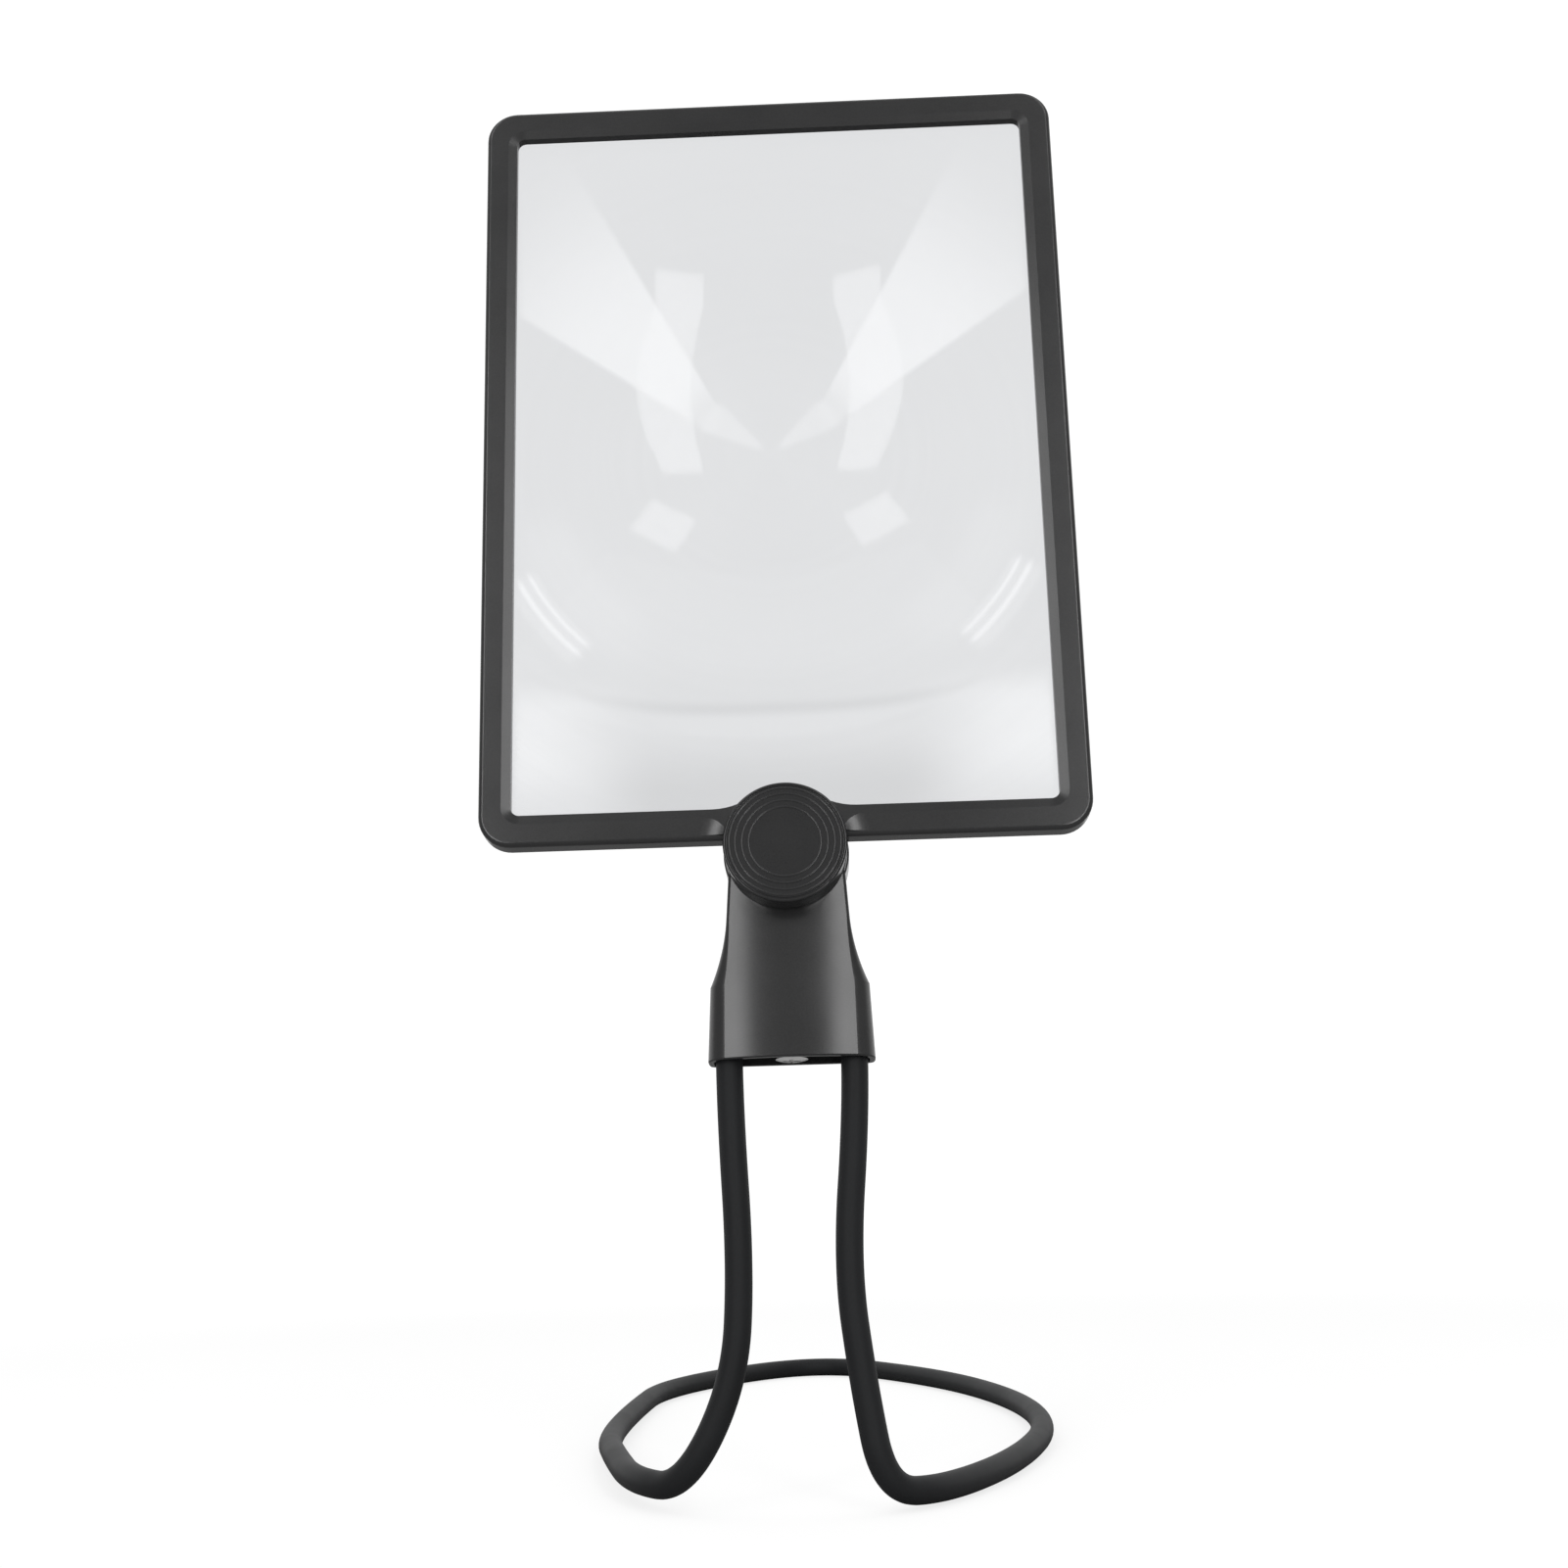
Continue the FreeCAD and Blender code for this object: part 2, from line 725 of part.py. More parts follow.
def insert_boss():
    """The upright boss over the tube block, with a rib to the front wall."""
    radius = insert_radius + insert_boss_wall
    low_drop = block_high_drop - seat_gap
    high_drop = low_drop - insert_boss_height
    boss = post_z(radius, low_drop, high_drop, 0, tube_depth)
    front = bracket_front + crown_sink + wall / 2
    rib = Part.makeBox(insert_rib_width, tube_depth - front, insert_boss_height,
                       Vector(-insert_rib_width / 2, front, -low_drop))
    bore = post_z(insert_radius + face_gap, low_drop + overrun, low_drop - insert_length - seat_gap,
                  0, tube_depth)
    tip_bore_top = high_drop + insert_boss_wall
    tip_bore = post_z(base_screw_radius + seat_gap, low_drop, tip_bore_top, 0, tube_depth)
    return boss.fuse(rib).cut(bore.fuse(tip_bore))


def make_bracket_front():
    shell = bracket_outside().common(half_space(bracket_front - overrun, bracket_split))
    shell = shell.cut(bracket_inside())
    relief_front = friction_disc_back + head_floor
    nut_boss_radius = nut_across_flats / 2 + nut_boss_wall
    relief = disc_y(head_radius - wall, relief_front, bracket_split + overrun)
    shell = shell.cut(relief.cut(disc_y(nut_boss_radius, bracket_front, bracket_split + overrun)))
    friction_seat = disc_y(friction_disc_radius + seat_gap, bracket_front - overrun, friction_disc_back)
    shell = shell.cut(friction_seat)
    shell = shell.cut(disc_y(pivot_radius + seat_gap, bracket_front, bracket_split + overrun))
    shell = shell.cut(hexagon(nut_across_flats + 2 * face_gap, nut_front, bracket_split + overrun))
    boss_radius = cover_screw_radius + cover_boss_wall
    boss_front = bracket_front + crown_sink + wall
    bosses = [insert_boss()]
    for x, drop in upper_screw_places():
        bosses.append(disc_y(boss_radius, boss_front, bracket_split, x, -drop))
    shell = shell.fuse(bosses)
    for x, drop in upper_screw_places():
        pilot_front = cover_screw_tip - seat_gap
        pilot = disc_y(cover_screw_radius + face_gap, pilot_front, bracket_split + overrun, x, -drop)
        shell = shell.cut(pilot)
    return shell


def make_bracket_rear():
    cover_front = bracket_split + face_gap
    cover = bracket_outside().common(half_space(cover_front, bracket_back + overrun))
    cover = cover.cut(bracket_inside())
    cover = cover.cut(disc_y(head_radius - wall, cover_front - overrun, cover_inside))
    pad_radius = cover_screw_head_radius + cover_boss_wall / 2
    block_back = tube_depth + block_half_depth + seat_gap
    pads = []
    for x, drop in upper_screw_places():
        pads.append(disc_y(pad_radius, cover_front, cover_inside + wall / 2, x, -drop))
    for x, drop in lower_screw_places():
        pads.append(disc_y(pad_radius, block_back, cover_inside + wall / 2, x, -drop))
    cover = cover.fuse(pads)
    for x, drop in upper_screw_places() + lower_screw_places():
        hole = disc_y(cover_screw_radius + seat_gap, cover_front - overrun, sink_floor + overrun, x, -drop)
        cover = cover.cut(hole)
        sink = disc_y(cover_screw_head_radius + seat_gap, sink_floor, bracket_back + overrun, x, -drop)
        cover = cover.cut(sink)
    return cover.removeSplitter()


def make_bracket_screws():
    screws = []
    for x, drop in upper_screw_places() + lower_screw_places():
        place = Vector(x, sink_floor, -drop)
        screws.append(pan_head_screw(cover_screw_radius, sink_floor - cover_screw_tip,
                                     cover_screw_head_radius, cover_screw_head_height,
                                     pan_dome_share, place, Vector(0, -1, 0)))
    return Part.makeCompound(screws)


# Tube block, base screw and insert

def make_tube_block():
    """The block that holds the two ferrules in sockets open to the sides."""
    centres = []
    for side_x, side_y in ((1, 1), (-1, 1), (-1, -1), (1, -1)):
        x = side_x * (block_half_width - block_corner_radius)
        y = tube_depth + side_y * (block_half_depth - block_corner_radius)
        centres.append(post_z(block_corner_radius, block_low_drop, block_high_drop, x, y))
    wide = Part.makeBox(2 * block_half_width, 2 * (block_half_depth - block_corner_radius), block_height,
                        Vector(-block_half_width, tube_depth - block_half_depth + block_corner_radius,
                               -block_low_drop))
    deep = Part.makeBox(2 * (block_half_width - block_corner_radius), 2 * block_half_depth, block_height,
                        Vector(block_corner_radius - block_half_width, tube_depth - block_half_depth,
                               -block_low_drop))
    block = wide.fuse([deep] + centres)
    socket_high = ferrule_high_drop - seat_gap
    for side in (-1, 1):
        x = side * tube_offset
        socket = post_z(ferrule_radius + face_gap, block_low_drop + overrun, socket_high, x, tube_depth)
        block = block.cut(socket)
        block = block.cut(ferrule_pin(side, pin_radius + face_gap, overrun))
    screw_bore = post_z(base_screw_radius + seat_gap, block_low_drop + overrun, block_high_drop - overrun,
                        0, tube_depth)
    block = block.cut(screw_bore)
    block_back = tube_depth + block_half_depth
    for x, drop in lower_screw_places():
        pilot_front = cover_screw_tip - seat_gap
        block = block.cut(disc_y(cover_screw_radius + face_gap, pilot_front, block_back + overrun, x, -drop))
    return block.removeSplitter()


def make_base_screw():
    length = block_height + insert_length
    return pan_head_screw(base_screw_radius, length, base_screw_head_radius, base_screw_head_height,
                          base_dome_share, Vector(0, tube_depth, -block_low_drop), Vector(0, 0, 1))


def make_base_insert():
    low_drop = block_high_drop - seat_gap
    body = post_z(insert_radius, low_drop, low_drop - insert_length, 0, tube_depth)
    groove_wall = insert_radius - insert_boss_wall / 4
    groove_low = low_drop - insert_length / 3
    groove_high = low_drop - 2 * insert_length / 3
    groove = post_z(insert_radius + overrun, groove_low, groove_high, 0, tube_depth).cut(
        post_z(groove_wall, groove_low + overrun, groove_high - overrun, 0, tube_depth))
    bore = post_z(base_screw_radius + face_gap, low_drop + overrun, low_drop - insert_length - overrun,
                  0, tube_depth)
    return body.cut(groove).cut(bore)


# Gooseneck

def make_ferrule(side):
    x = side * tube_offset
    ferrule = post_z(ferrule_radius, ferrule_low_drop, ferrule_high_drop, x, tube_depth)
    bore = post_z(core_radius + face_gap, ferrule_low_drop + overrun, ferrule_high_drop + ferrule_end_length,
                  x, tube_depth)
    return ferrule.cut(bore).cut(ferrule_pin(side, pin_radius + face_gap, overrun))


def ferrule_pin(side, radius, extra):
    half_length = block_half_depth - face_gap + extra
    drop = ferrule_high_drop + ferrule_end_length / 2
    return disc_y(radius, tube_depth - half_length, tube_depth + half_length, side * tube_offset, -drop)


def make_ferrule_pins():
    return Part.makeCompound([ferrule_pin(side, pin_radius, 0) for side in (-1, 1)])


def strand_point(side, drop):
    return stand_placement.multVec(Vector(side * tube_offset, tube_depth, -drop))


def route_points():
    points = [strand_point(-1, core_end_drop), strand_point(-1, foot_drop + exit_run)]
    for across, deep, high in route_shares:
        points.append(Vector(across * loop_width, deep * loop_depth, tube_radius + high * pivot_height))
    points += [strand_point(1, foot_drop + exit_run), strand_point(1, core_end_drop)]
    return points


def bend_at(before, corner, after):
    """The tangent arc at a corner of the route, as three points, and its radius."""
    back = before - corner
    ahead = after - corner
    reach = arc_run_share * min(back.Length, ahead.Length)
    back.normalize()
    ahead.normalize()
    half_turn = (math.pi - back.getAngle(ahead)) / 2
    radius = reach / math.tan(half_turn)
    inward = back + ahead
    inward.normalize()
    middle = corner + inward * (radius / math.cos(half_turn) - radius)
    return (corner + back * reach, middle, corner + ahead * reach), radius


def gooseneck_path(end_drop):
    """Straight runs joined by tangent arcs, from one strand's end to the other's."""
    points = route_points()
    bends = [bend_at(*points[place - 1:place + 2]) for place in range(1, len(points) - 1)]
    edges = []
    here = strand_point(-1, end_drop)
    for bend, radius in bends:
        edges.append(line(here, bend[0]))
        edges.append(arc(*bend))
        here = bend[2]
    edges.append(line(here, strand_point(1, end_drop)))
    return Part.Wire(edges), [radius for bend, radius in bends]


def gooseneck_rod(radius, end_drop):
    path, radii = gooseneck_path(end_drop)
    start = strand_point(-1, end_drop)
    along = strand_point(-1, foot_drop) - start
    section = Part.Wire([Part.makeCircle(radius, start, along)])
    return path.makePipeShell([section], True, False)


def make_gooseneck_sleeve():
    outside = gooseneck_rod(tube_radius, sleeve_end_drop)
    bore = gooseneck_rod(sleeve_bore_radius, sleeve_end_drop)
    return outside.cut(bore)


def make_gooseneck_core():
    return gooseneck_rod(core_radius, core_end_drop)


def report_gooseneck(sleeve):
    path, radii = gooseneck_path(sleeve_end_drop)
    section = math.pi * (tube_radius ** 2 - sleeve_bore_radius ** 2)
    print("bend radii", ["%.1f" % radius for radius in radii])
    print("sleeve length %.1f, volume share %.5f" % (path.Length, sleeve.Volume / (section * path.Length)))


# Every piece is made once, placed, checked and written to its own file

def lean_back(shape):
    placed = shape.copy()
    placed.Placement = stand_placement.multiply(placed.Placement)
    return placed


def make_pieces():
    upright = {
        "front_bezel": make_front_bezel(),
        "rear_bezel": make_rear_bezel(),
        "fresnel_lens": make_fresnel_lens(),
        "hub_cap": make_hub_cap(),
        "pivot_screw": make_pivot_screw(),
        "flat_washer": make_flat_washer(),
        "disc_spring": make_disc_spring(),
        "hub_washer": make_hub_washer(),
        "friction_disc": make_friction_disc(),
        "pivot_nut": make_pivot_nut(),
        "bracket_front": make_bracket_front(),
        "bracket_rear": make_bracket_rear(),
        "bracket_screws": make_bracket_screws(),
        "tube_block": make_tube_block(),
        "base_screw": make_base_screw(),
        "base_insert": make_base_insert(),
        "left_ferrule": make_ferrule(-1),
        "right_ferrule": make_ferrule(1),
        "ferrule_pins": make_ferrule_pins(),
    }
    pieces = {name: lean_back(shape) for name, shape in upright.items()}
    pieces["gooseneck_sleeve"] = make_gooseneck_sleeve()
    pieces["gooseneck_core"] = make_gooseneck_core()
    return pieces


def main():
    os.makedirs("parts", exist_ok=True)
    pieces = make_pieces()
    for name, shape in pieces.items():
        shape.exportStep("parts/" + name + ".step")
        state = (name, shape.isValid(), len(shape.Solids), shape.Volume)
        print("%-18s valid %s solids %d volume %.1f" % state)
    report_gooseneck(pieces["gooseneck_sleeve"])
    whole = Part.makeCompound(list(pieces.values()))
    box = whole.BoundBox
    print("box x %.2f to %.2f, y %.2f to %.2f, z %.2f to %.2f" % (
        box.XMin, box.XMax, box.YMin, box.YMax, box.ZMin, box.ZMax))


main()
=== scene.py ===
import math

import bpy
from mathutils import Matrix, Vector


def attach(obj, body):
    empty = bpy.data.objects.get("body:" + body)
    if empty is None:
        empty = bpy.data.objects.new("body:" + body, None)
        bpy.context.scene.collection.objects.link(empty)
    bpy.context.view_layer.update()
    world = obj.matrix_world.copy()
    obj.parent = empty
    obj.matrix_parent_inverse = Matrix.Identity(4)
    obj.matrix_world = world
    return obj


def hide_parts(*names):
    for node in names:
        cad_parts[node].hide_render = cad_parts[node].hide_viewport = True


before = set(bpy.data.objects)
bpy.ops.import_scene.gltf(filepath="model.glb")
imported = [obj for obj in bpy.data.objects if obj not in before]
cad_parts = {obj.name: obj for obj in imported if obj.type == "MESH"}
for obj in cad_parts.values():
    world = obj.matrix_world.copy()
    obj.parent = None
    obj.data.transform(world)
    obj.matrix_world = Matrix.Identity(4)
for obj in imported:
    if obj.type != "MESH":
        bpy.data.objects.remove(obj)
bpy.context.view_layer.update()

MM = 0.001

# The leaned frame: the pivot, and its own axes
LEAN = math.radians(7.64)
PIVOT = Vector((0.0, -0.14976, 0.1573))
UP = Vector((0.0, math.sin(LEAN), math.cos(LEAN)))
FRONT = Vector((0.0, -math.cos(LEAN), math.sin(LEAN)))
ACROSS = Vector((1.0, 0.0, 0.0))


def on_frame(across, up, back=0.0):
    """A point in the leaned frame's own axes, given in metres from the pivot."""
    return PIVOT + ACROSS * across + UP * up - FRONT * back


# Camera: where the photograph was taken from, worked out from its perspective

PHOTO_PIXELS = 1601.0
FOCAL_PIXELS = 1960.0
CENTRE_ROW = 1000.0
SENSOR_WIDTH = 36.0
CAMERA_PLACE = (0.0113, -0.609, 0.075)
CAMERA_TURNS = (-1.56, 6.12, -1.61)
CLIP_START = 0.01
CLIP_END = 50.0


def make_camera():
    """The photograph's place, aim and upward shift."""
    yaw, pitch, roll = (math.radians(turn_degrees) for turn_degrees in CAMERA_TURNS)
    ahead = Vector((math.sin(yaw) * math.cos(pitch), math.cos(yaw) * math.cos(pitch), math.sin(pitch)))
    level = Vector((math.cos(yaw), -math.sin(yaw), 0.0))
    rise = level.cross(ahead)
    right = math.cos(roll) * level + math.sin(roll) * rise
    top = -math.sin(roll) * level + math.cos(roll) * rise
    data = bpy.data.cameras.new("camera")
    data.sensor_width = SENSOR_WIDTH
    data.lens = SENSOR_WIDTH * FOCAL_PIXELS / PHOTO_PIXELS
    data.shift_y = (CENTRE_ROW - PHOTO_PIXELS / 2.0) / PHOTO_PIXELS
    data.clip_start = CLIP_START
    data.clip_end = CLIP_END
    camera = bpy.data.objects.new("camera", data)
    bpy.context.scene.collection.objects.link(camera)
    aim = Matrix((right, top, -ahead)).transposed()
    camera.matrix_world = Matrix.Translation(CAMERA_PLACE) @ aim.to_4x4()
    bpy.context.scene.camera = camera


# Material helpers

class Nodes:
    """A short way to build a node tree."""

    def __init__(self, name):
        self.material = bpy.data.materials.new(name)
        self.material.use_nodes = True
        self.tree = self.material.node_tree
        self.tree.nodes.clear()
        self.output = self.tree.nodes.new("ShaderNodeOutputMaterial")

    def add(self, kind, settings=None, **inputs):
        node = self.tree.nodes.new("ShaderNode" + kind)
        for key, value in (settings or {}).items():
            setattr(node, key, value)
        for key, value in inputs.items():
            self.set(node, key.replace("_", " "), value)
        return node

    def set(self, node, key, value):
        socket = node.inputs[int(key)] if key.isdigit() else node.inputs[key]
        if isinstance(value, bpy.types.NodeSocket):
            self.tree.links.new(value, socket)
        else:
            socket.default_value = value

    def math(self, operation, a, b=0.0, clamp=False):
        node = self.add("Math", {"operation": operation, "use_clamp": clamp})
        self.set(node, "0", a)
        self.set(node, "1", b)
        return node.outputs[0]

    def vector_math(self, operation, a, b=None, scale=None):
        node = self.add("VectorMath", {"operation": operation})
        self.set(node, "0", a)
        if b is not None:
            self.set(node, "1", b)
        if scale is not None:
            self.set(node, "Scale", scale)
        return node

    def ramp(self, factor, stops):
        node = self.add("ValToRGB", Fac=factor)
        points = node.color_ramp.elements
        while len(points) < len(stops):
            points.new(0.5)
        for point, (place, value) in zip(points, stops):
            point.position = place
            colour = value if isinstance(value, tuple) else (value, value, value)
            point.color = (*colour, 1.0)
        return node.outputs["Color"]

    def noise(self, scale, detail=4.0, roughness=0.55, stretch=None):
        coordinates = self.add("TexCoord").outputs["Object"]
        if stretch:
            coordinates = self.vector_math("MULTIPLY", coordinates, stretch).outputs[0]
        node = self.add("TexNoise", Vector=coordinates, Scale=scale, Detail=detail, Roughness=roughness)
        return node.outputs["Fac"]

    def blend(self, first, first_share, second, second_share):
        """Two values, each times its share, added."""
        return self.math("ADD", self.math("MULTIPLY", first, first_share),
                         self.math("MULTIPLY", second, second_share))

    def between(self, noise, low, high):
        """A noise value, stretched to fill two bounds."""
        return self.add("MapRange", Value=noise, From_Min=0.3, From_Max=0.7, To_Min=low,
                        To_Max=high).outputs[0]

    def step(self, value, low, high):
        """Smoothly from 0 at the first bound to 1 at the second, in either order."""
        ends = {"From_Min": low, "From_Max": high, "To_Min": 0.0, "To_Max": 1.0}
        if high < low:
            ends = {"From_Min": high, "From_Max": low, "To_Min": 1.0, "To_Max": 0.0}
        return self.add("MapRange", {"interpolation_type": "SMOOTHSTEP"}, Value=value, **ends).outputs[0]

    def span(self, value, low, high, soft):
        """1 between two bounds, with soft ends."""
        rise = self.step(value, low - soft, low + soft)
        return self.math("MULTIPLY", rise, self.step(value, high + soft, high - soft))

    def grey(self, value, red=1.0, green=1.0, blue=1.0):
        """A colour from one value, with a slight tint."""
        colour = self.add("CombineXYZ")
        for key, share in (("X", red), ("Y", green), ("Z", blue)):
            self.set(colour, key, value if share == 1.0 else self.math("MULTIPLY", value, share))
        return colour.outputs[0]

    def bump(self, height, strength, distance):
        return self.add("Bump", Height=height, Strength=strength, Distance=distance).outputs["Normal"]


# Finishes: noise scales are per metre, bump heights in metres

SPARK_SCALE = 2600.0
SPARK_HEIGHT = 0.000006
GLOSS_SCALE = 55.0
FLOW_SCALE = 14.0
PORE_SCALE = 3800.0
PORE_HEIGHT = 0.00001
BLOOM_SCALE = 38.0
SCRATCH_SCALE = 900.0
SCRATCH_HEIGHT = 0.00002
PLATING_SCALE = 160.0
MOTTLE_SCALE = 700.0
MOTTLE_HEIGHT = 0.00004
PLASTIC_IOR = 1.5
SLEEVE_IOR = 1.45


def finish_principled(nodes, **inputs):
    shader = nodes.add("BsdfPrincipled", **inputs)
    nodes.tree.links.new(shader.outputs[0], nodes.output.inputs["Surface"])
    return nodes.material


def moulded_plastic(name, dark, light, rough_low, rough_high, grain):
    """Moulded black plastic: fine spark grain, slow changes of gloss, faint dust in the colour."""
    nodes = Nodes(name)
    spark = nodes.noise(SPARK_SCALE, 3.0, 0.6)
    slow = nodes.noise(GLOSS_SCALE, 3.0, 0.5)
    flow = nodes.noise(FLOW_SCALE, 2.0, 0.5, stretch=(1.0, 1.0, 2.4))
    colour = nodes.ramp(nodes.blend(spark, 0.45, slow, 0.55), ((0.32, dark), (0.68, light)))
    rough = nodes.between(nodes.blend(flow, 0.6, spark, 0.4), rough_low, rough_high)
    return finish_principled(nodes, Base_Color=colour, Roughness=rough, IOR=PLASTIC_IOR,
                             Normal=nodes.bump(spark, grain, SPARK_HEIGHT))


def soft_sleeve(name):
    """The gooseneck's soft sleeve: matt, with a little bloom and fine pores."""
    nodes = Nodes(name)
    pores = nodes.noise(PORE_SCALE, 4.0, 0.65)
    bloom = nodes.noise(BLOOM_SCALE, 4.0, 0.6)
    colour = nodes.ramp(nodes.blend(pores, 0.4, bloom, 0.6),
                        ((0.3, (0.015, 0.0155, 0.0165)), (0.7, (0.022, 0.023, 0.0245))))
    return finish_principled(nodes, Base_Color=colour, Roughness=nodes.between(bloom, 0.5, 0.6),
                             Specular_IOR_Level=0.17, IOR=SLEEVE_IOR,
                             Normal=nodes.bump(pores, 0.35, PORE_HEIGHT))


def turned_metal(name, dark, light, rough, scratch=0.25):
    """Plated or turned metal with fine scratches and uneven tone."""
    nodes = Nodes(name)
    fine = nodes.noise(SCRATCH_SCALE, 6.0, 0.7, stretch=(1.0, 7.0, 1.0))
    slow = nodes.noise(PLATING_SCALE, 3.0, 0.5)
    colour = nodes.ramp(nodes.blend(fine, 0.4, slow, 0.6), ((0.35, dark), (0.65, light)))
    return finish_principled(nodes, Base_Color=colour, Metallic=1.0,
                             Roughness=nodes.between(fine, rough * 0.8, rough * 1.25),
                             Normal=nodes.bump(fine, scratch, SCRATCH_HEIGHT))


def plain_moulding(name, dark, light, rough):
    """Uncoloured or matt technical plastic with a mild mottle."""
    nodes = Nodes(name)
    mottle = nodes.noise(MOTTLE_SCALE, 5.0, 0.6)
    colour = nodes.ramp(mottle, ((0.35, dark), (0.65, light)))
    return finish_principled(nodes, Base_Color=colour,
                             Roughness=nodes.between(mottle, rough - 0.06, rough + 0.08),
                             Normal=nodes.bump(mottle, 0.2, MOTTLE_HEIGHT))


# Lens: places on the sheet are in millimetres and degrees about its optical centre. A pair is where
# something begins and ends, and a longer number after it is how soft its ends are.

LENS_CENTRE = on_frame(-1.3 * MM, 106.4 * MM, 2.65 * MM)
FACET_CURVE = 1.0 / 0.115
GROOVE_PITCH = 0.45
GROOVE_HEIGHT = 0.000006

# The strips bow outwards away from this row: by this share for each square millimetre, up to the most
BOW_ROW = 19.0
BOW_SHARE = 0.00026
BOW_MOST = 0.15

CLEAR_LEVELS = (0.813, 0.825)
CLEAR_TINT = (0.995, 1.0, 1.008)
MIRROR_LEVEL = 0.0085
DRAG_LEVEL = 0.006
SKIN_LEVEL = 0.02
# The painted highlights' glossy colour, and how far they dim the mirror lobe where they are painted.
PAINTED_HIGHLIGHT_LEVEL = 0.07
PAINTED_HIGHLIGHT_HIDES = 0.65

# Where the painted highlights sit on the sheet.
WEDGE_APEX = 6.3
WEDGE_SECTOR = (35.9, 62.6)
WEDGE_RISE = (14.0, 32.0)
WEDGE_FADE = (112.0, 50.0)
WHISKER_SECTOR = (22.0, 49.0)
WHISKER_RADII = (3.0, 20.0)
WHISKER_LEVEL = 0.45
ARC_SECTOR = (-47.5, -27.0)
ARC_LEVEL = 0.75
FIRST_CREST = (69.4, 70.3)
SECOND_CREST = (72.3, 73.6)
CREST_BAND = (68.0, 76.5)
CREST_BAND_LEVEL = 0.35
FAN_SECTOR = (-55.0, -16.0)
FAN_RADII = (54.0, 68.0)
CORNER_TOP = (-59.0, -70.0)
CORNER_FOOT = (-100.0, -80.0)
CORNER_SIDE = (30.0, 62.0)

CURVE_TOP = 69.4
CURVE_BEND = 0.0000446


def lens_places(nodes):
    """Places about the optical centre: the flat offset in metres, the height, the distance beside it
    and the radius in millimetres, and the angle above level in degrees."""
    place = nodes.add("TexCoord").outputs["Object"]
    offset = nodes.vector_math("SUBTRACT", place, tuple(LENS_CENTRE)).outputs[0]
    depth = nodes.vector_math("DOT_PRODUCT", offset, tuple(FRONT)).outputs["Value"]
    flat = nodes.vector_math("SUBTRACT", offset,
                             nodes.vector_math("SCALE", tuple(FRONT), scale=depth).outputs[0]).outputs[0]
    across = nodes.math("DIVIDE", nodes.vector_math("DOT_PRODUCT", flat, tuple(ACROSS)).outputs["Value"], MM)
    up = nodes.math("DIVIDE", nodes.vector_math("DOT_PRODUCT", flat, tuple(UP)).outputs["Value"], MM)
    radius = nodes.math("DIVIDE", nodes.vector_math("LENGTH", flat).outputs["Value"], MM)
    beside = nodes.math("ABSOLUTE", across)
    angle = nodes.math("DEGREES", nodes.math("ARCTAN2", up, beside))
    return flat, up, beside, radius, angle


def total(nodes, *values):
    result = values[0]
    for value in values[1:]:
        result = nodes.math("ADD", result, value)
    return result


def product(nodes, *values):
    result = values[0]
    for value in values[1:]:
        result = nodes.math("MULTIPLY", result, value)
    return result


def painted_highlight_mask(nodes, up, beside, radius, angle):
    """Painted highlights at fixed places on the sheet, standing in for light off the steep sides of the
    grooves: two upper sectors, two small ones by the centre, streaked arcs low on both sides and the bottom
    corners."""
    past_apex = nodes.math("SUBTRACT", beside, WEDGE_APEX)
    sector = nodes.math("DEGREES", nodes.math("ARCTAN2", up, past_apex))
    wedge = product(nodes, nodes.span(sector, *WEDGE_SECTOR, 0.7), nodes.step(radius, *WEDGE_RISE),
                    nodes.step(radius, *WEDGE_FADE))
    whisker = product(nodes, nodes.span(angle, *WHISKER_SECTOR, 3.0),
                      nodes.span(radius, *WHISKER_RADII, 2.0), WHISKER_LEVEL)
    line = nodes.add("TexNoise", {"noise_dimensions": "1D"}, W=radius, Scale=1.6, Detail=3.0, Roughness=0.6)
    streaks = nodes.step(line.outputs["Fac"], 0.4, 0.62)
    crests = total(nodes, nodes.span(radius, *FIRST_CREST, 0.5), nodes.span(radius, *SECOND_CREST, 0.6),
                   nodes.math("MULTIPLY", nodes.span(radius, *CREST_BAND, 1.0), CREST_BAND_LEVEL))
    low_arc = product(nodes, nodes.span(angle, *ARC_SECTOR, 1.5), crests, ARC_LEVEL)
    fan = product(nodes, nodes.span(angle, *FAN_SECTOR, 7.0), nodes.span(radius, *FAN_RADII, 5.0),
                  nodes.math("ADD", product(nodes, streaks, 0.12), 0.12))
    corner = product(nodes, nodes.step(up, *CORNER_TOP), nodes.step(beside, *CORNER_SIDE),
                     nodes.step(up, *CORNER_FOOT),
                     nodes.math("ADD", product(nodes, streaks, 0.4), 0.55))
    return total(nodes, wedge, whisker, low_arc, fan, corner)


def painted_sheet_shade(nodes, up, beside):
    """Painted shade: the dim curve over the hub and the dimmer sheet under it."""
    bend = nodes.math("MULTIPLY", nodes.math("POWER", beside, 3.0), CURVE_BEND)
    past = nodes.math("SUBTRACT", nodes.math("ADD", up, CURVE_TOP), bend)
    curve = product(nodes, nodes.span(past, -1.6, 0.6, 1.8), nodes.step(beside, 70.0, 15.0), 0.055)
    below = product(nodes, nodes.step(past, 0.0, -5.0), nodes.step(beside, 50.0, 28.0),
                    nodes.step(up, -74.0, -92.0), 0.05)
    above = product(nodes, nodes.step(past, -1.0, 2.0), nodes.step(past, 16.0, 2.0),
                    nodes.step(beside, 62.0, 20.0), 0.012)
    return total(nodes, curve, below, above)


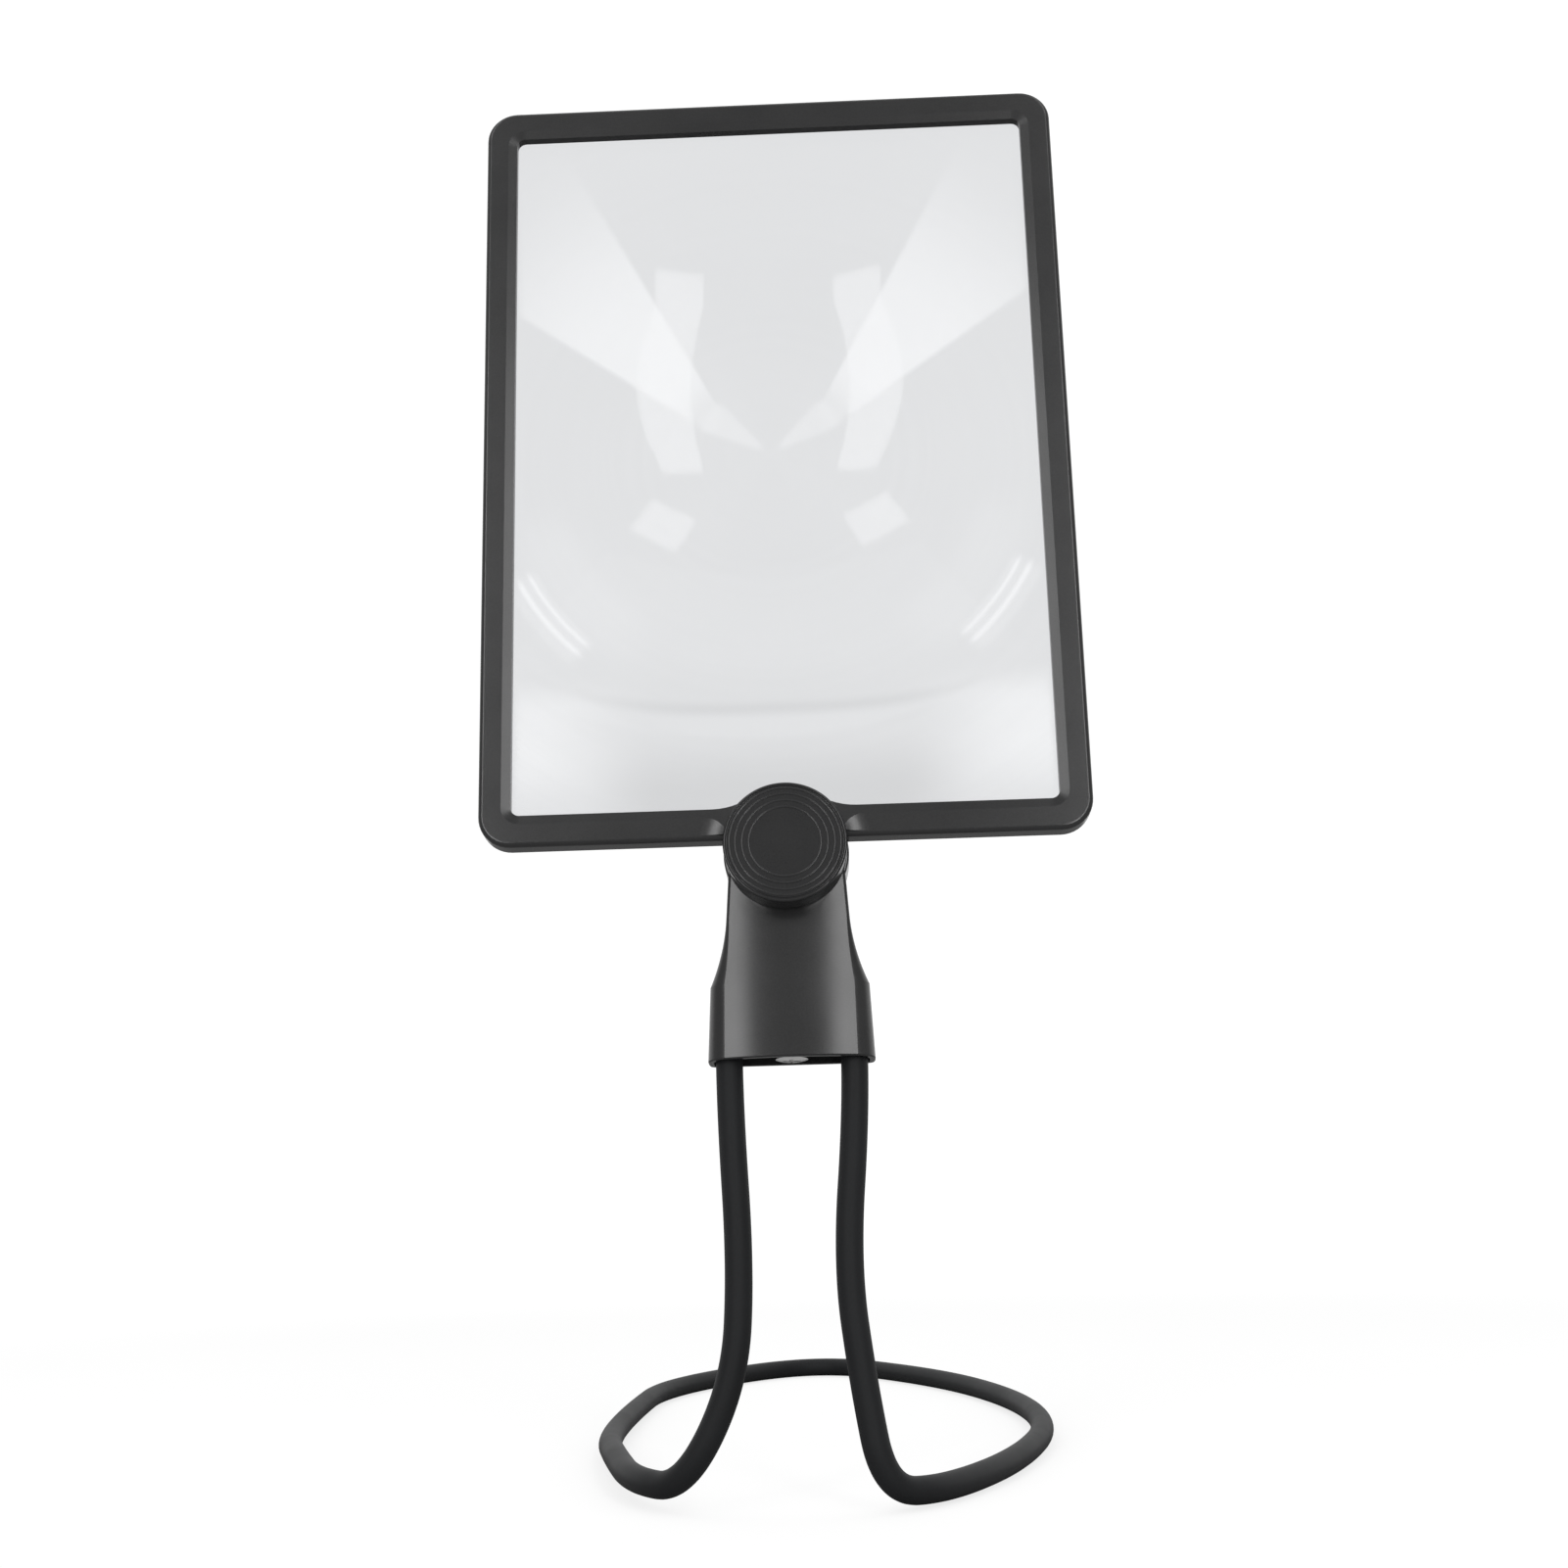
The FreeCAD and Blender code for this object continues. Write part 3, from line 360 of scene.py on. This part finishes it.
def sheet_lens(name):
    """A clear sheet with fine ring grooves: their slopes mirror the room as a hollow mirror would,
    and their crests drag each highlight out along the radius. Further highlights are painted at fixed places
    into one glossy lobe's colour, and painted shade dims what shows through."""
    nodes = Nodes(name)
    flat, up, beside, radius, angle = lens_places(nodes)
    around = nodes.vector_math("NORMALIZE",
                               nodes.vector_math("CROSS_PRODUCT", tuple(FRONT), flat).outputs[0]).outputs[0]
    base_normal = nodes.add("NewGeometry").outputs["Normal"]
    across = nodes.vector_math("DOT_PRODUCT", flat, tuple(ACROSS)).outputs["Value"]
    off_row = nodes.math("POWER", nodes.math("ABSOLUTE", nodes.math("SUBTRACT", up, BOW_ROW)), 2.0)
    bow = nodes.math("MINIMUM", nodes.math("MULTIPLY", off_row, BOW_SHARE), BOW_MOST)
    widen = nodes.math("MULTIPLY", across, bow)
    bowed = nodes.vector_math("ADD", flat,
                              nodes.vector_math("SCALE", tuple(ACROSS), scale=widen).outputs[0]).outputs[0]
    slope = nodes.vector_math("SCALE", bowed, scale=-FACET_CURVE).outputs[0]
    tilted = nodes.vector_math("NORMALIZE",
                               nodes.vector_math("ADD", base_normal, slope).outputs[0]).outputs[0]
    rings = nodes.math("SINE", nodes.math("MULTIPLY", radius, 2.0 * math.pi / GROOVE_PITCH))
    band = nodes.add("TexNoise", {"noise_dimensions": "1D"}, W=radius, Scale=0.42, Detail=5.0, Roughness=0.7)
    haze = nodes.blend(band.outputs["Fac"], 0.35, nodes.noise(16.0, 3.0, 0.5), 0.65)
    # Painted shade, a dark curve and band, is taken off what shows through the sheet.
    level = nodes.math("SUBTRACT", nodes.between(haze, *CLEAR_LEVELS), painted_sheet_shade(nodes, up, beside))
    clear = nodes.add("BsdfTransparent", Color=nodes.grey(level, *CLEAR_TINT))
    # Painted highlights: a mask at fixed places colours one glossy lobe and dims the mirror lobe there.
    painted_highlight = painted_highlight_mask(nodes, up, beside, radius, angle)
    painted_highlight_lobe = nodes.add("BsdfAnisotropic", Roughness=0.45,
                      Color=nodes.grey(nodes.math("MULTIPLY", painted_highlight, PAINTED_HIGHLIGHT_LEVEL)))
    left_over = nodes.math("SUBTRACT", 1.0, nodes.math("MULTIPLY", painted_highlight, PAINTED_HIGHLIGHT_HIDES), clamp=True)
    mirror = nodes.add("BsdfAnisotropic", Roughness=0.05, Normal=tilted,
                       Color=nodes.grey(nodes.math("MULTIPLY", left_over, MIRROR_LEVEL)))
    drag = nodes.add("BsdfAnisotropic", Color=(DRAG_LEVEL, DRAG_LEVEL, DRAG_LEVEL, 1.0), Roughness=0.3,
                     Anisotropy=0.93, Normal=tilted, Tangent=around)
    skin = nodes.add("BsdfAnisotropic", Color=(SKIN_LEVEL, SKIN_LEVEL, SKIN_LEVEL, 1.0), Roughness=0.12,
                     Normal=nodes.bump(rings, 0.05, GROOVE_HEIGHT))
    layers = clear.outputs[0]
    for lobe in (painted_highlight_lobe, mirror, drag, skin):
        join = nodes.add("AddShader")
        nodes.set(join, "0", layers)
        nodes.set(join, "1", lobe.outputs[0])
        layers = join.outputs[0]
    nodes.tree.links.new(layers, nodes.output.inputs["Surface"])
    return nodes.material


# Which CAD node gets which finish

def dress(node, material):
    mesh_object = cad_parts[node]
    if not mesh_object.material_slots:
        mesh_object.data.materials.append(material)
    for slot in mesh_object.material_slots:
        slot.material = material


def dress_all():
    """The CAD nodes keep their shapes and only get better materials."""
    black = moulded_plastic("satin_black", (0.02, 0.02, 0.0205), (0.03, 0.03, 0.0305), 0.19, 0.25, 0.3)
    cap = moulded_plastic("cap_black", (0.011, 0.011, 0.0115), (0.019, 0.019, 0.0195), 0.2, 0.26, 0.35)
    shell = moulded_plastic("shell_black", (0.021, 0.021, 0.0215), (0.032, 0.032, 0.0325), 0.18, 0.24, 0.35)
    zinc = turned_metal("zinc_plate", (0.5, 0.5, 0.5), (0.66, 0.66, 0.67), 0.3)
    nickel = turned_metal("bright_nickel", (0.9, 0.895, 0.885), (0.97, 0.965, 0.96), 0.14, 0.12)
    brass = turned_metal("turned_brass", (0.5, 0.36, 0.14), (0.72, 0.54, 0.24), 0.28)
    nylon = plain_moulding("natural_nylon", (0.66, 0.65, 0.6), (0.8, 0.79, 0.75), 0.42)
    fibre = plain_moulding("friction_fibre", (0.05, 0.045, 0.04), (0.1, 0.09, 0.08), 0.75)
    block = plain_moulding("block_black", (0.008, 0.008, 0.008), (0.02, 0.02, 0.02), 0.5)
    for node in ("front_bezel", "rear_bezel"):
        dress(node, black)
    dress("hub_cap", cap)
    for node in ("bracket_front", "bracket_rear"):
        dress(node, shell)
    for node in ("pivot_screw", "flat_washer", "disc_spring", "pivot_nut", "bracket_screws", "ferrule_pins",
                 "left_ferrule", "right_ferrule"):
        dress(node, zinc)
    dress("base_screw", nickel)
    dress("base_insert", brass)
    dress("hub_washer", nylon)
    dress("friction_disc", fibre)
    dress("tube_block", block)
    dress("fresnel_lens", sheet_lens("grooved_sheet"))


# Gooseneck: the photographed course, from the left strand round the loop to the right strand

TUBE_RADIUS = 3.3 * MM
SLEEVE_BORE = 1.9 * MM
CORE_RADIUS = 1.75 * MM
SLEEVE_END_DROP = 49.3 * MM
CORE_END_DROP = 41.0 * MM
RING_COUNT = 32
PLACES_PER_POINT = 24
ROUTE = (
    (-0.0133, -0.1523, 0.0562), (-0.0151, -0.1562, 0.0293), (-0.0276, -0.1561, 0.0058),
    (-0.0411, -0.1408, 0.0058), (-0.0494, -0.1042, 0.0063), (-0.0579, -0.0521, 0.0040),
    (-0.0591, 0.0188, 0.0033), (-0.0554, 0.1018, 0.0033), (-0.0007, 0.1789, 0.0033),
    (0.0442, 0.1094, 0.0033), (0.0657, 0.0352, 0.0033), (0.0696, -0.0368, 0.0033),
    (0.0553, -0.1018, 0.0033), (0.0341, -0.1482, 0.0033), (0.0190, -0.1600, 0.0046),
    (0.0148, -0.1568, 0.0288), (0.0117, -0.1523, 0.0562),
)
STRAND_ACROSS = 15.2 * MM
STRAND_BACK = 12.88 * MM
STRAND_TURN_DROP = 63.2 * MM


def tube_route(end_drop):
    """The points that the spline follows, with both ends this far below the pivot in the bracket."""
    points = [on_frame(-STRAND_ACROSS, -drop, STRAND_BACK) for drop in (end_drop, STRAND_TURN_DROP)]
    points += [Vector(point) for point in ROUTE]
    points += [on_frame(STRAND_ACROSS, -drop, STRAND_BACK) for drop in (STRAND_TURN_DROP, end_drop)]
    return points


def spline_places(end_drop):
    """Places along one smooth spline through the loop."""
    data = bpy.data.curves.new("route", "CURVE")
    data.dimensions = "3D"
    spline = data.splines.new("NURBS")
    points = tube_route(end_drop)
    spline.points.add(len(points) - 1)
    for point, place in zip(spline.points, points):
        point.co = (*place, 1.0)
    spline.order_u = 3
    spline.use_endpoint_u = True
    spline.resolution_u = PLACES_PER_POINT
    path = bpy.data.objects.new("route", data)
    bpy.context.scene.collection.objects.link(path)
    bpy.context.view_layer.update()
    line = path.evaluated_get(bpy.context.evaluated_depsgraph_get()).to_mesh()
    places = [vertex.co.copy() for vertex in line.vertices]
    bpy.data.objects.remove(path)
    bpy.data.curves.remove(data)
    return places


def rings_along(places, radius):
    """Circles of vertices square to the line, with no twist from one to the next."""
    rings = []
    side = ACROSS
    for index, place in enumerate(places):
        ahead = places[min(index + 1, len(places) - 1)] - places[max(index - 1, 0)]
        ahead.normalize()
        side = (side - ahead * side.dot(ahead)).normalized()
        over = ahead.cross(side)
        for step in range(RING_COUNT):
            angle = 2.0 * math.pi * step / RING_COUNT
            rings.append(place + radius * (math.cos(angle) * side + math.sin(angle) * over))
    return rings


def wall_faces(first, ring_total, inwards):
    """Quads that join each ring to the next one."""
    faces = []
    for ring in range(ring_total - 1):
        for step in range(RING_COUNT):
            a = first + ring * RING_COUNT + step
            b = first + ring * RING_COUNT + (step + 1) % RING_COUNT
            face = (a, b, b + RING_COUNT, a + RING_COUNT)
            faces.append(face[::-1] if inwards else face)
    return faces


def end_faces(last, inner):
    """What closes both ends: rings round a bore, or one flat face each."""
    if not inner:
        return [tuple(reversed(range(RING_COUNT))), tuple(range(last, last + RING_COUNT))]
    faces = []
    for step in range(RING_COUNT):
        after = (step + 1) % RING_COUNT
        faces.append((step, inner + step, inner + after, after))
        faces.append((last + step, last + after, inner + last + after, inner + last + step))
    return faces


def smooth_tube(name, radius, bore, end_drop, material, replaced):
    """A round tube along the loop, hollow where it has a bore."""
    places = spline_places(end_drop)
    vertices = rings_along(places, radius)
    sides = wall_faces(0, len(places), False)
    inner = len(vertices) if bore else 0
    if bore:
        vertices += rings_along(places, bore)
        sides += wall_faces(inner, len(places), True)
    ends = end_faces((len(places) - 1) * RING_COUNT, inner)
    mesh = bpy.data.meshes.new(name)
    mesh.from_pydata(vertices, [], sides + ends)
    mesh.polygons.foreach_set("use_smooth", [True] * len(sides) + [False] * len(ends))
    mesh.materials.append(material)
    tube = bpy.data.objects.new(name, mesh)
    bpy.context.scene.collection.objects.link(tube)
    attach(tube, "stand")
    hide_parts(replaced)
    return tube


def make_gooseneck():
    wire = turned_metal("drawn_steel", (0.36, 0.36, 0.36), (0.52, 0.52, 0.52), 0.35)
    sleeve = smooth_tube("gooseneck_smooth", TUBE_RADIUS, SLEEVE_BORE, SLEEVE_END_DROP,
                         soft_sleeve("soft_sleeve"), "gooseneck_sleeve")
    core = smooth_tube("core_smooth", CORE_RADIUS, 0.0, CORE_END_DROP, wire, "gooseneck_core")


# Room: white where the camera sees it, dimmer in front for what the parts reflect

BACKDROP = 1.1
ROOM_FRONT = 0.36
ROOM_BACK = 1.0
ROOM_TURN = (-0.1, 0.45)
FLOOR_HALF = 12.0
FLOOR_DROP = 0.0002
FLOOR_FADE = (0.45, 1.3)
FLOOR_SHADOW = 0.3
FLOOR_LIT = 0.86
FLOOR_REFLECTED = 0.35


def make_floor():
    """A plain white floor that takes a faint shadow near the object."""
    nodes = Nodes("pale_floor")
    place = nodes.add("TexCoord").outputs["Object"]
    distance = nodes.vector_math("LENGTH", place).outputs["Value"]
    fade = nodes.add("MapRange", {"interpolation_type": "SMOOTHSTEP"}, Value=distance,
                     From_Min=FLOOR_FADE[0], From_Max=FLOOR_FADE[1], To_Min=FLOOR_SHADOW,
                     To_Max=0.0).outputs[0]
    seen = nodes.add("MixShader", Fac=fade)
    white = nodes.add("Emission", Color=(1.0, 1.0, 1.0, 1.0), Strength=BACKDROP)
    lit = nodes.add("BsdfDiffuse", Color=(FLOOR_LIT, FLOOR_LIT, FLOOR_LIT, 1.0))
    nodes.set(seen, "1", white.outputs[0])
    nodes.set(seen, "2", lit.outputs[0])
    rays = nodes.add("LightPath")
    background = nodes.math("MAXIMUM", rays.outputs["Is Camera Ray"], rays.outputs["Is Transmission Ray"])
    plain = nodes.add("BsdfDiffuse", Color=(FLOOR_REFLECTED, FLOOR_REFLECTED, FLOOR_REFLECTED, 1.0))
    choose = nodes.add("MixShader", Fac=background)
    nodes.set(choose, "1", plain.outputs[0])
    nodes.set(choose, "2", seen.outputs[0])
    nodes.tree.links.new(choose.outputs[0], nodes.output.inputs["Surface"])
    mesh = bpy.data.meshes.new("floor")
    corners = [(x * FLOOR_HALF, y * FLOOR_HALF, 0.0) for x, y in ((-1, -1), (1, -1), (1, 1), (-1, 1))]
    mesh.from_pydata(corners, [], [(0, 1, 2, 3)])
    mesh.materials.append(nodes.material)
    floor = bpy.data.objects.new("floor", mesh)
    floor.location = (0.0, 0.0, -FLOOR_DROP)
    bpy.context.scene.collection.objects.link(floor)


def make_world():
    """A room that is bright behind the object and dimmer in front of it."""
    world = bpy.data.worlds.new("room")
    bpy.context.scene.world = world
    world.use_nodes = True
    tree = world.node_tree
    tree.nodes.clear()

    def math_node(operation, first, second):
        node = tree.nodes.new("ShaderNodeMath")
        node.operation = operation
        for socket, value in zip(node.inputs, (first, second)):
            if isinstance(value, bpy.types.NodeSocket):
                tree.links.new(value, socket)
            else:
                socket.default_value = value
        return node.outputs[0]

    rays = tree.nodes.new("ShaderNodeLightPath")
    seen = math_node("MAXIMUM", rays.outputs["Is Camera Ray"], rays.outputs["Is Transmission Ray"])
    direction = tree.nodes.new("ShaderNodeTexCoord")
    parts = tree.nodes.new("ShaderNodeSeparateXYZ")
    tree.links.new(direction.outputs["Generated"], parts.inputs[0])
    behind = tree.nodes.new("ShaderNodeMapRange")
    behind.interpolation_type = "SMOOTHSTEP"
    tree.links.new(parts.outputs["Y"], behind.inputs["Value"])
    for key, value in (("From Min", ROOM_TURN[0]), ("From Max", ROOM_TURN[1]), ("To Min", ROOM_FRONT),
                       ("To Max", ROOM_BACK)):
        behind.inputs[key].default_value = value
    strength = math_node("MAXIMUM", math_node("MULTIPLY", seen, BACKDROP), behind.outputs[0])
    background = tree.nodes.new("ShaderNodeBackground")
    background.inputs["Color"].default_value = (1.0, 1.0, 1.0, 1.0)
    tree.links.new(strength, background.inputs["Strength"])
    output = tree.nodes.new("ShaderNodeOutputWorld")
    tree.links.new(background.outputs[0], output.inputs["Surface"])


# Lights: panels are placed where the lens's highlights show them, in degrees as seen from the lens

PANEL_DISTANCE = 1.6
PANEL_LEAN = 4.0
KEY_RADIANCE = 6.0
HIGH_RADIANCE = 5.5
HIGH_ELEVATION = 51.5
HIGH_WIDTH = 0.23
HIGH_HEIGHT = 0.26
CEILING_PLACE = (0.0, 0.0, 1.7)
CEILING_SIZE = 1.6
CEILING_RADIANCE = 0.6


def area_light(name, place, target, width, height, radiance):
    """A soft panel, with its strength given as what a mirror of it would show."""
    data = bpy.data.lights.new(name, "AREA")
    data.shape = "RECTANGLE"
    data.size = width
    data.size_y = height
    data.energy = radiance * math.pi * width * height
    light = bpy.data.objects.new(name, data)
    light.location = place
    light.rotation_euler = (Vector(target) - Vector(place)).to_track_quat("-Z", "Y").to_euler()
    light.visible_camera = False
    bpy.context.scene.collection.objects.link(light)
    return light


def in_direction(azimuth, elevation, distance):
    """A place as seen from the lens: azimuth to the viewer's right, elevation above level."""
    a, e = math.radians(azimuth), math.radians(elevation)
    ahead = Vector((math.sin(a) * math.cos(e), -math.cos(a) * math.cos(e), math.sin(e)))
    return LENS_CENTRE + distance * ahead


def upright_panel(name, azimuths, elevations, radiance):
    """A softbox between two azimuths and two elevations as seen from the lens, its foot leaned inwards."""
    left, right = azimuths
    foot, top = (LENS_CENTRE.z + PANEL_DISTANCE * math.tan(math.radians(e)) for e in elevations)
    width = 2.0 * PANEL_DISTANCE * math.tan(math.radians((right - left) / 2.0))
    place = in_direction((left + right) / 2.0, 0.0, PANEL_DISTANCE)
    place.z = (foot + top) / 2.0
    target = (LENS_CENTRE.x, LENS_CENTRE.y, place.z)
    light = area_light(name, place, target, width, top - foot, radiance)
    turn(light, -PANEL_LEAN if left > 0.0 else PANEL_LEAN)


def turn(light, degrees):
    """Turn a panel in its own plane."""
    spin = Matrix.Rotation(math.radians(degrees), 3, "Z")
    light.rotation_euler = (light.rotation_euler.to_matrix() @ spin).to_euler()


def diamond_panel(name, azimuth, elevation, radiance):
    """A small square softbox turned onto its corner."""
    place = in_direction(azimuth, elevation, PANEL_DISTANCE)
    light = area_light(name, place, tuple(LENS_CENTRE), HIGH_WIDTH, HIGH_HEIGHT, radiance)
    turn(light, 45.0 if azimuth > 0.0 else -45.0)


def make_lights():
    upright_panel("key_left", (-29.3, -18.7), (-4.0, 40.8), KEY_RADIANCE)
    upright_panel("key_right", (15.2, 26.0), (-5.5, 40.2), KEY_RADIANCE)
    diamond_panel("high_left", -34.6, HIGH_ELEVATION, HIGH_RADIANCE)
    diamond_panel("high_right", 31.6, HIGH_ELEVATION, HIGH_RADIANCE)
    area_light("ceiling", CEILING_PLACE, (0.0, 0.0, 0.0), CEILING_SIZE, CEILING_SIZE, CEILING_RADIANCE)


make_camera()
dress_all()
make_gooseneck()
make_floor()
make_world()
make_lights()
bpy.context.scene.view_settings.view_transform = "Standard"
